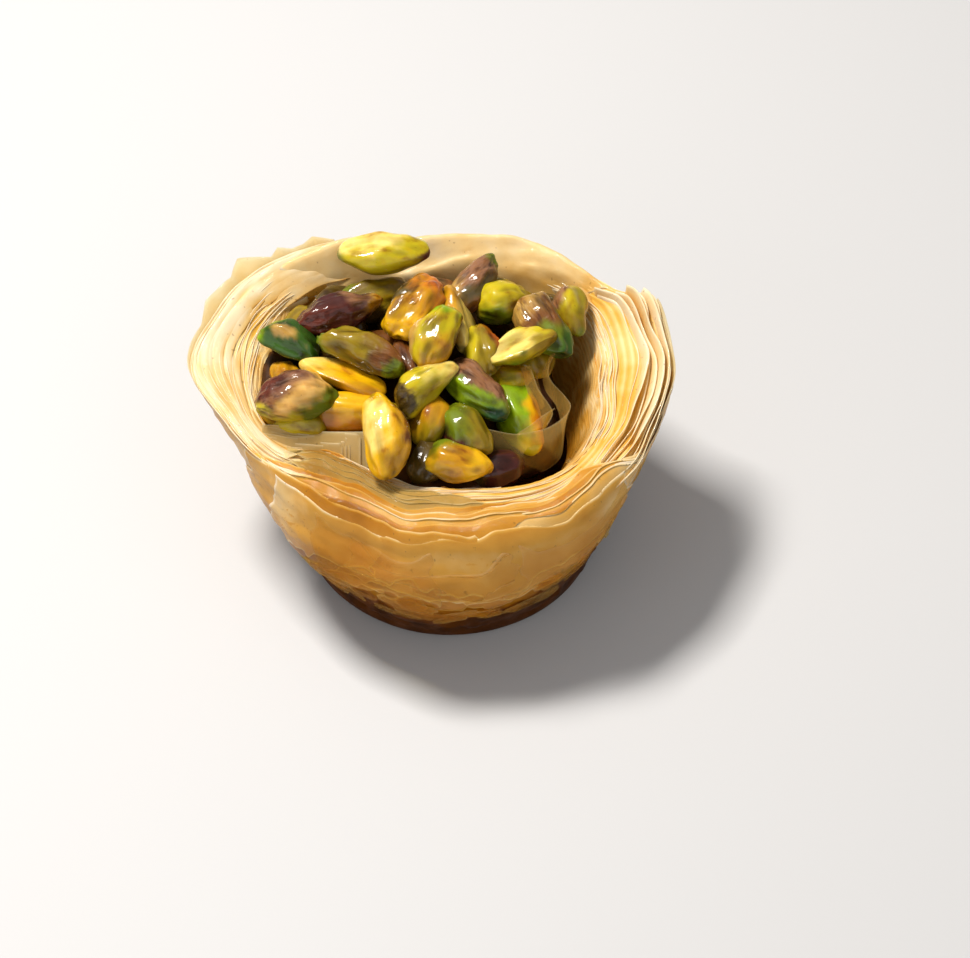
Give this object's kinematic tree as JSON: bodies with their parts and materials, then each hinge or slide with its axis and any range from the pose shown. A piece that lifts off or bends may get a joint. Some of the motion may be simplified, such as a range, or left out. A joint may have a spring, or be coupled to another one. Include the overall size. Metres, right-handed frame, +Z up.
{
  "type": "filo basket",
  "caption": "Basket-shaped cup of stacked filo sheets with a flared, leafy rim, heaped with whole shelled pistachio kernels and soaked in syrup.",
  "frame": {"origin": "centre of the flat base the pastry rests on", "axes": "+Z up; -Y is the front, where the sheets lean in and lie lowest; +X is to the right seen from the front, the side with the tall sheet corners"},
  "size_m": [0.0962, 0.0814, 0.0513],
  "materials": {
    "filo": "baked filo soaked in syrup: pale cream-gold sheet edges, golden walls, caramel brown near the base, glossy",
    "pistachio": "shelled pistachio kernels glazed with syrup: green, yellow-green and yellow flesh with purple-brown skin",
    "rim_pistachio": "one smooth yellow-green kernel glazed with syrup",
    "filo_curl": "a thin torn strip of filo, soaked and translucent"
  },
  "bodies": {
    "root": {"filo_basket": "filo", "pistachio_heap": "pistachio", "rim_pistachio": "rim_pistachio", "filo_curl": "filo_curl"}
  },
  "joints": []
}
